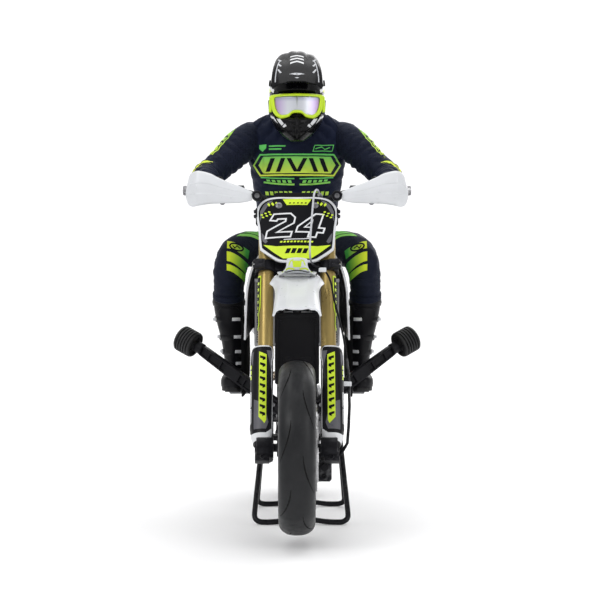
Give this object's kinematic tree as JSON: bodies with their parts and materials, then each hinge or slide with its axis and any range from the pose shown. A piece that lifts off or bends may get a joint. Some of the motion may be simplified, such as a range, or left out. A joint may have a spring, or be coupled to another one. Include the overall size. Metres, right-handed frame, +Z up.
{
  "type": "rc motorcycle",
  "caption": "Radio-controlled model motorcycle with a rider figure, working fork, shock and chain drive, on a bent-wire work stand.",
  "frame": {"origin": "on the floor under the middle of the object's box, where the work stand stands", "axes": "+Z up, -Y is the way the motorcycle faces, +X is the rider's left"},
  "size_m": [0.2352, 0.5314, 0.4503],
  "materials": {
    "black_plastic": "satin moulded",
    "white_plastic": "gloss",
    "graphic_panel": "gloss, printed graphics",
    "gold": "anodised",
    "black_alloy": "black anodised",
    "frame_alloy": "satin black",
    "steel": "brushed",
    "yellow_spring": "gloss",
    "tyre": "matt",
    "hard_rubber": "matt",
    "jersey": "knitted jersey with printed panels",
    "boot": "moulded",
    "helmet": "gloss",
    "goggle": "gloss, mirrored lens",
    "battery": "shrink wrap",
    "black_wire": "satin black"
  },
  "bodies": {
    "chassis": {"main_frame": "frame_alloy", "skid_plate": "black_plastic", "motor_case": "black_alloy", "drive_motor": "steel", "battery_pack": "battery", "steering_servo": "black_plastic", "radiator_pack": "black_plastic", "shroud_left": "graphic_panel", "shroud_right": "graphic_panel", "tank_cover": "black_plastic", "seat": "black_plastic", "side_panel_left": "white_plastic", "side_panel_right": "white_plastic", "rear_fender": "white_plastic", "exhaust": "steel", "footpegs": "black_alloy", "outrigger_left": "black_plastic", "outrigger_right": "black_plastic", "rider_torso": "jersey", "rider_leg_left": "jersey", "rider_leg_right": "jersey", "boot_left": "boot", "boot_right": "boot", "helmet": "helmet", "helmet_visor": "helmet", "goggles": "goggle"},
    "steering": {"upper_clamp": "black_alloy", "lower_clamp": "black_alloy", "fork_tube_left": "gold", "fork_tube_right": "gold", "handlebar": "black_alloy", "number_plate": "white_plastic", "front_fender": "white_plastic", "handguard_left": "white_plastic", "handguard_right": "white_plastic", "glove_left": "jersey", "glove_right": "jersey", "brake_hose": "black_plastic"},
    "fork_lower": {"fork_leg_left": "black_alloy", "fork_leg_right": "black_alloy", "fork_guard_left": "graphic_panel", "fork_guard_right": "graphic_panel", "brake_caliper": "black_alloy"},
    "front_wheel_assembly": {"front_tyre": "tyre", "front_wheel": "black_alloy"},
    "swingarm_assembly": {"swingarm": "black_alloy", "chain": "steel"},
    "rear_wheel_assembly": {"rear_tyre": "tyre", "rear_wheel": "black_alloy"},
    "drive_sprocket_body": {"drive_sprocket": "steel"},
    "shock_upper": {"shock_body": "steel", "shock_spring": "yellow_spring"},
    "shock_lower": {"shock_rod": "steel"},
    "roller_left_body": {"roller_left": "hard_rubber"},
    "roller_right_body": {"roller_right": "hard_rubber"},
    "upper_arm_left_body": {"upper_arm_left": "jersey"},
    "upper_arm_right_body": {"upper_arm_right": "jersey"},
    "forearm_left_body": {"forearm_left": "jersey"},
    "forearm_right_body": {"forearm_right": "jersey"},
    "stand_body": {"stand": "black_wire"}
  },
  "joints": [
    {"name": "steering", "type": "hinge", "parent": "chassis", "child": "steering", "pos_m": [0, -0.17892, 0.0783], "axis": [0, 0.4384, 0.8988], "range_deg": [-20, 20], "stiffness_Nm_per_rad": 1.2},
    {"name": "fork_travel", "type": "slide", "parent": "steering", "child": "fork_lower", "axis": [0, 0.4384, 0.8988], "range_m": [0, 0.03], "stiffness_N_per_m": 500, "springref_m": -0.02},
    {"name": "front_wheel_spin", "type": "hinge", "parent": "fork_lower", "child": "front_wheel_assembly", "pos_m": [0, -0.1906, 0.084], "axis": [1, 0, 0], "continuous": true},
    {"name": "swingarm_pivot", "type": "hinge", "parent": "chassis", "child": "swingarm_assembly", "pos_m": [0, 0.0214, 0.107], "axis": [1, 0, 0], "range_deg": [0, 14], "stiffness_Nm_per_rad": 3, "springref_deg": -17.19},
    {"name": "rear_wheel_spin", "type": "hinge", "parent": "swingarm_assembly", "child": "rear_wheel_assembly", "pos_m": [0, 0.1794, 0.0855], "axis": [1, 0, 0], "continuous": true},
    {"name": "drive_sprocket_spin", "type": "hinge", "parent": "chassis", "child": "drive_sprocket_body", "pos_m": [0, 0.0214, 0.107], "axis": [1, 0, 0], "continuous": true},
    {"name": "shock_pivot", "type": "hinge", "parent": "chassis", "child": "shock_upper", "pos_m": [0, 0.0314, 0.199], "axis": [1, 0, 0], "range_deg": [-1, 2]},
    {"name": "shock_slide", "type": "slide", "parent": "shock_upper", "child": "shock_lower", "axis": [0, -0.3791, 0.9254], "range_m": [0, 0.0125], "deforming": ["shock_spring"]},
    {"name": "roller_left_spin", "type": "hinge", "parent": "chassis", "child": "roller_left_body", "pos_m": [0.1035, -0.0276, 0.1705], "axis": [0.8066, 0.4068, 0.4288], "continuous": true},
    {"name": "roller_right_spin", "type": "hinge", "parent": "chassis", "child": "roller_right_body", "pos_m": [-0.1035, -0.0276, 0.1705], "axis": [-0.8066, 0.4068, 0.4288], "continuous": true},
    {"name": "shoulder_left", "type": "hinge", "parent": "chassis", "child": "upper_arm_left_body", "pos_m": [0.048, 0.0174, 0.371], "axis": [0.2038, 0.3044, 0.9305], "range_deg": [-29, 29]},
    {"name": "elbow_left", "type": "hinge", "parent": "upper_arm_left_body", "child": "forearm_left_body", "pos_m": [0.091, -0.0066, 0.334], "axis": [-0.0587, -0.3327, -0.9412], "range_deg": [-35, 35]},
    {"name": "shoulder_right", "type": "hinge", "parent": "chassis", "child": "upper_arm_right_body", "pos_m": [-0.048, 0.0174, 0.371], "axis": [-0.2038, 0.3044, 0.9305], "range_deg": [-29, 29]},
    {"name": "elbow_right", "type": "hinge", "parent": "upper_arm_right_body", "child": "forearm_right_body", "pos_m": [-0.091, -0.0066, 0.334], "axis": [0.0587, -0.3327, -0.9412], "range_deg": [-35, 35]},
    {"name": "stand_lifts_away", "type": "slide", "parent": "chassis", "child": "stand_body", "axis": [0, 0, -1], "range_m": [0, 0.08]}
  ],
  "couplings": [
    {"joint": "drive_sprocket_spin", "follows": "rear_wheel_spin", "ratio": 3.4286},
    {"joint": "shock_pivot", "follows": "swingarm_pivot", "ratio": 0.051295},
    {"joint": "shock_slide", "follows": "swingarm_pivot", "m_per_rad": 0.044613},
    {"joint": "shoulder_left", "follows": "steering", "ratio": 1.3346},
    {"joint": "elbow_left", "follows": "steering", "ratio": 1.6458},
    {"joint": "shoulder_right", "follows": "steering", "ratio": 1.3346},
    {"joint": "elbow_right", "follows": "steering", "ratio": 1.6458}
  ]
}
